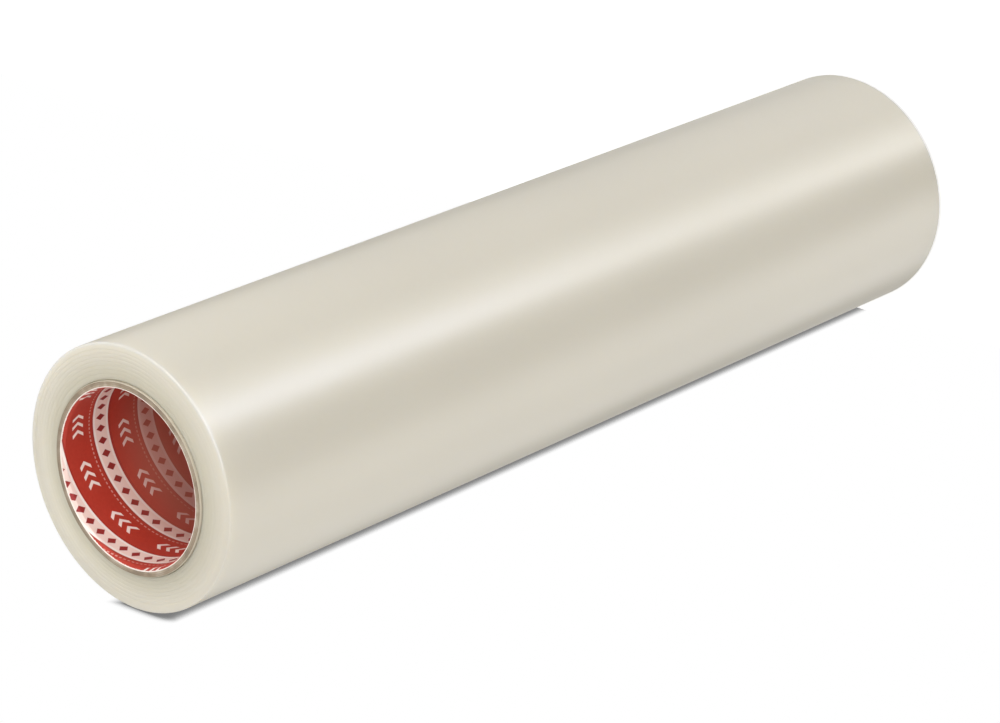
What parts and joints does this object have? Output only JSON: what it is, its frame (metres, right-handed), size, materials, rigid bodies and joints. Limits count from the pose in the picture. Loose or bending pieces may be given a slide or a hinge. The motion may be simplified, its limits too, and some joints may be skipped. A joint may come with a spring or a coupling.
{
  "type": "roll of protective film",
  "caption": "Wide roll of translucent protective film wound on a cardboard tube with a printed paper lining, standing on its end.",
  "frame": {"origin": "centre of the roll's lower end, on its axis, in the plane of the tube's cut edge", "axes": "+Z along the roll's axis, up from the end it stands on; the film's loose end lies 30 degrees from +X towards +Y"},
  "size_m": [0.1159, 0.1158, 0.502],
  "materials": {
    "film": "translucent polyethylene film in many layers, soft gloss",
    "core_card": "matt grey-brown cardboard, spirally wound, with cut edges",
    "printed_paper": "satin printed paper, red with pale spiral bands"
  },
  "bodies": {
    "root": {"film_winding": "film", "core_tube": "core_card", "core_liner": "printed_paper"}
  },
  "joints": []
}
